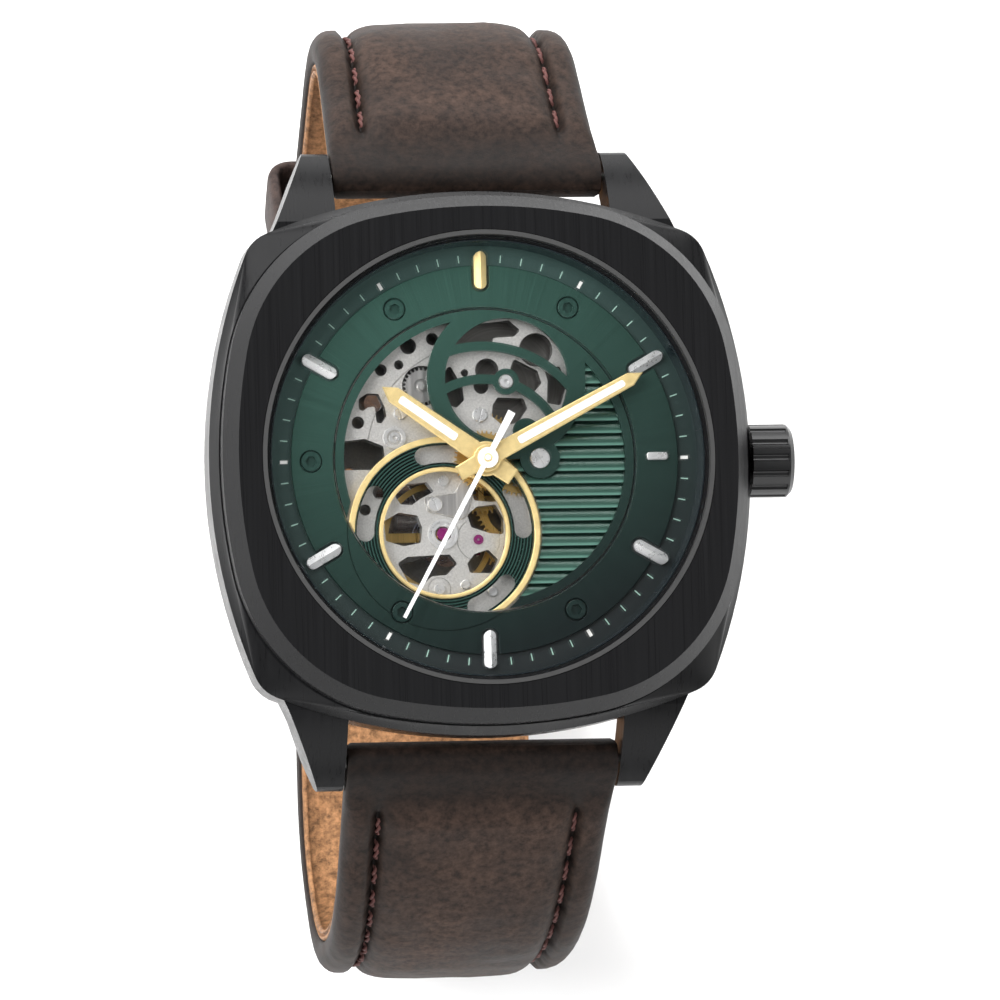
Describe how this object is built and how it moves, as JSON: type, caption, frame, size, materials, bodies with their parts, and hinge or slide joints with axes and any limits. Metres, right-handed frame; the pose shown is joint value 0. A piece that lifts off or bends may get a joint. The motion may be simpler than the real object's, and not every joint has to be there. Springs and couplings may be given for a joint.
{
  "type": "skeleton wristwatch",
  "caption": "Black cushion-shaped automatic wristwatch with an open green dial over the movement, gold hands and a padded leather strap on a pin buckle.",
  "frame": {"origin": "centre of the case back's outer face, on the axis of the hands", "axes": "+Z out of the dial, +Y to 12 o'clock, +X to 3 o'clock and the crown"},
  "size_m": [0.0473, 0.0775, 0.0557],
  "materials": {
    "black_steel": "satin black coating over brushed steel",
    "bezel_black": "vertically brushed black coating, satin bevel",
    "crown_black": "semi-gloss black coating",
    "crystal": "polished clear",
    "back_glass": "polished clear",
    "seal_rubber": "matt",
    "rehaut_black": "gloss blue-black",
    "ring_plastic": "matt",
    "dial_track_green": "matt green lacquer, darker to the rim",
    "dial_green": "sunray-brushed green lacquer",
    "louvre_green": "glossy green lacquer",
    "groove_green": "glossy green lacquer",
    "gold": "polished pale gold plating",
    "gold_hand": "satin pale gold plating",
    "polished_steel": "polished",
    "satin_steel": "satin",
    "pin_steel": "turned",
    "screw_green": "green lacquer",
    "frosted_nickel": "frosted nickel plating",
    "barrel_nickel": "fine circular grain",
    "ruby": "polished synthetic ruby",
    "gilt_brass": "gilt, fine circular grain",
    "hairspring_blue": "polished",
    "spring_alloy": "bright",
    "white_hand": "satin white lacquer",
    "lume": "matt luminous paint",
    "track_print": "pale green printed marks",
    "strap_leather": "nubuck, padded, stitched",
    "strap_lining": "smooth tan lining",
    "keeper_leather": "nubuck",
    "thread": "waxed twisted thread",
    "buckle_black": "satin black coating"
  },
  "bodies": {
    "case": {"balance_cock": "frosted_nickel", "balance_ring": "groove_green", "bezel": "bezel_black", "bridge_screws": "polished_steel", "case_back": "black_steel", "case_back_glass": "back_glass", "case_middle": "black_steel", "cover_plate": "satin_steel", "crystal": "crystal", "dial_base": "dial_track_green", "dial_bridge": "dial_green", "dial_ring": "dial_green", "dial_screws": "screw_green", "gaskets": "seal_rubber", "gold_rings": "gold", "index_12": "gold", "indices_silver": "polished_steel", "jewels": "ruby", "keeper_fixed": "keeper_leather", "louvre_panel": "louvre_green", "main_plate": "frosted_nickel", "movement_ring": "ring_plastic", "rehaut": "rehaut_black", "rotor_bearing": "pin_steel", "shock_setting": "polished_steel", "spring_bars": "pin_steel", "strap_12": "strap_leather", "strap_6": "strap_leather", "strap_linings": "strap_lining", "train_bridge": "frosted_nickel"},
    "spring_bar_tip_12": {"spring_bar_tip_12": "pin_steel"},
    "spring_bar_tip_6": {"spring_bar_tip_6": "pin_steel"},
    "keeper_free": {"keeper_free": "keeper_leather"},
    "buckle_frame": {"buckle_frame": "buckle_black"},
    "buckle_tongue": {"buckle_tongue": "buckle_black"},
    "winding_pinion": {"winding_pinion": "pin_steel"},
    "crown": {"crown": "crown_black", "winding_stem": "pin_steel"},
    "sliding_clutch": {"sliding_clutch": "pin_steel"},
    "crown_wheel": {"crown_wheel": "satin_steel"},
    "ratchet_wheel": {"ratchet_wheel": "satin_steel", "barrel_arbor": "pin_steel"},
    "reduction_wheel": {"reduction_wheel": "satin_steel"},
    "click": {"click": "satin_steel"},
    "barrel": {"barrel_drum": "barrel_nickel", "mainspring": "spring_alloy"},
    "centre_wheel": {"centre_wheel": "gilt_brass"},
    "minute_hand": {"cannon_pinion": "pin_steel", "minute_hand": "gold_hand"},
    "hour_hand": {"hour_wheel": "gilt_brass", "hour_hand": "gold_hand"},
    "minute_wheel": {"minute_wheel": "gilt_brass"},
    "third_wheel": {"third_wheel": "gilt_brass"},
    "fourth_wheel": {"fourth_wheel": "gilt_brass"},
    "seconds_hand": {"seconds_hand": "white_hand"},
    "escape_wheel": {"escape_wheel": "gilt_brass"},
    "pallet_fork": {"pallet_fork": "satin_steel"},
    "balance": {"balance_wheel": "gilt_brass", "hairspring": "hairspring_blue"},
    "rotor": {"rotor": "frosted_nickel"}
  },
  "joints": [
    {"name": "minute_hand_turn", "type": "hinge", "parent": "case", "child": "minute_hand", "pos_m": [0, 0, 0.008], "axis": [0, 0, -1], "continuous": true},
    {"name": "hour_hand_turn", "type": "hinge", "parent": "case", "child": "hour_hand", "pos_m": [0, 0, 0.008], "axis": [0, 0, -1], "continuous": true},
    {"name": "minute_wheel_turn", "type": "hinge", "parent": "case", "child": "minute_wheel", "pos_m": [0.00284, -0.0006, 0.0077], "axis": [0, 0, -1], "continuous": true},
    {"name": "centre_wheel_turn", "type": "hinge", "parent": "case", "child": "centre_wheel", "pos_m": [0, 0, 0.005], "axis": [0, 0, -1], "continuous": true},
    {"name": "third_wheel_turn", "type": "hinge", "parent": "case", "child": "third_wheel", "pos_m": [0.00355, -0.00277, 0.005], "axis": [0, 0, -1], "continuous": true},
    {"name": "fourth_wheel_turn", "type": "hinge", "parent": "case", "child": "fourth_wheel", "pos_m": [0.0055, -0.00683, 0.005], "axis": [0, 0, -1], "continuous": true},
    {"name": "seconds_hand_turn", "type": "hinge", "parent": "case", "child": "seconds_hand", "pos_m": [0, 0, 0.005], "axis": [0, 0, -1], "continuous": true},
    {"name": "escape_wheel_turn", "type": "hinge", "parent": "case", "child": "escape_wheel", "pos_m": [0.00175, -0.007, 0.005], "axis": [0, 0, -1], "continuous": true},
    {"name": "barrel_turn", "type": "hinge", "parent": "case", "child": "barrel", "pos_m": [0.0019, 0.0064, 0.0045], "axis": [0, 0, -1], "continuous": true, "deforming": ["mainspring"]},
    {"name": "crown_turn", "type": "hinge", "parent": "case", "child": "winding_pinion", "pos_m": [0.0105, 0, 0.0046], "axis": [1, 0, 0], "continuous": true},
    {"name": "crown_pull", "type": "slide", "parent": "winding_pinion", "child": "crown", "axis": [1, 0, 0], "range_m": [0, 0.0011]},
    {"name": "clutch_slide", "type": "slide", "parent": "winding_pinion", "child": "sliding_clutch", "axis": [-1, 0, 0], "range_m": [0, 0.0007]},
    {"name": "crown_wheel_turn", "type": "hinge", "parent": "case", "child": "crown_wheel", "pos_m": [0.00869, 0.0018, 0.0024], "axis": [0, 0, 1], "continuous": true},
    {"name": "ratchet_turn", "type": "hinge", "parent": "case", "child": "ratchet_wheel", "pos_m": [0.0019, 0.0064, 0.0024], "axis": [0, 0, 1], "continuous": true},
    {"name": "reduction_wheel_turn", "type": "hinge", "parent": "case", "child": "reduction_wheel", "pos_m": [-0.00475, 0.0061, 0.0045], "axis": [0, 0, 1], "continuous": true},
    {"name": "click_lift", "type": "hinge", "parent": "case", "child": "click", "pos_m": [-0.006, 0.01, 0.0023], "axis": [0, 0, 1], "range_deg": [0, 10], "stiffness_Nm_per_rad": 0.00002, "springref_deg": -5.73},
    {"name": "pallet_rock", "type": "hinge", "parent": "case", "child": "pallet_fork", "pos_m": [-0.00055, -0.0063, 0.0053], "axis": [0, 0, 1], "range_deg": [-5, 5]},
    {"name": "balance_swing", "type": "hinge", "parent": "case", "child": "balance", "pos_m": [-0.0034, -0.00583, 0.0044], "axis": [0, 0, 1], "range_deg": [-135, 135], "stiffness_Nm_per_rad": 0.00000001, "deforming": ["hairspring"]},
    {"name": "rotor_turn", "type": "hinge", "parent": "case", "child": "rotor", "pos_m": [0, 0, 0.0019], "axis": [0, 0, 1], "continuous": true},
    {"name": "spring_bar_tip_12_press", "type": "slide", "parent": "case", "child": "spring_bar_tip_12", "axis": [-1, 0, 0], "range_m": [0, 0.0009], "stiffness_N_per_m": 300, "springref_m": -0.001},
    {"name": "spring_bar_tip_6_press", "type": "slide", "parent": "case", "child": "spring_bar_tip_6", "axis": [-1, 0, 0], "range_m": [0, 0.0009], "stiffness_N_per_m": 300, "springref_m": -0.001},
    {"name": "keeper_slide", "type": "slide", "parent": "case", "child": "keeper_free", "axis": [0, -0.7071, -0.7071], "range_m": [-0.0015, 0.0015]},
    {"name": "buckle_hinge", "type": "hinge", "parent": "case", "child": "buckle_frame", "pos_m": [0, 0.0015, -0.0382], "axis": [1, 0, 0], "range_deg": [0, 15]},
    {"name": "tongue_hinge", "type": "hinge", "parent": "buckle_frame", "child": "buckle_tongue", "pos_m": [0, 0.0015, -0.0382], "axis": [1, 0, 0], "range_deg": [0, 20]}
  ],
  "couplings": [
    {"joint": "hour_hand_turn", "follows": "minute_hand_turn", "ratio": 0.083333},
    {"joint": "minute_wheel_turn", "follows": "minute_hand_turn", "ratio": -0.33333},
    {"joint": "centre_wheel_turn", "follows": "minute_hand_turn", "ratio": 1},
    {"joint": "third_wheel_turn", "follows": "minute_hand_turn", "ratio": -8},
    {"joint": "fourth_wheel_turn", "follows": "minute_hand_turn", "ratio": 60},
    {"joint": "seconds_hand_turn", "follows": "minute_hand_turn", "ratio": 60},
    {"joint": "escape_wheel_turn", "follows": "minute_hand_turn", "ratio": -720},
    {"joint": "barrel_turn", "follows": "minute_hand_turn", "ratio": -0.16667},
    {"joint": "clutch_slide", "follows": "crown_pull", "ratio": 0.63},
    {"joint": "crown_wheel_turn", "follows": "crown_turn", "ratio": 0.58333},
    {"joint": "ratchet_turn", "follows": "crown_turn", "ratio": -0.33654},
    {"joint": "reduction_wheel_turn", "follows": "crown_turn", "ratio": 1.25}
  ]
}
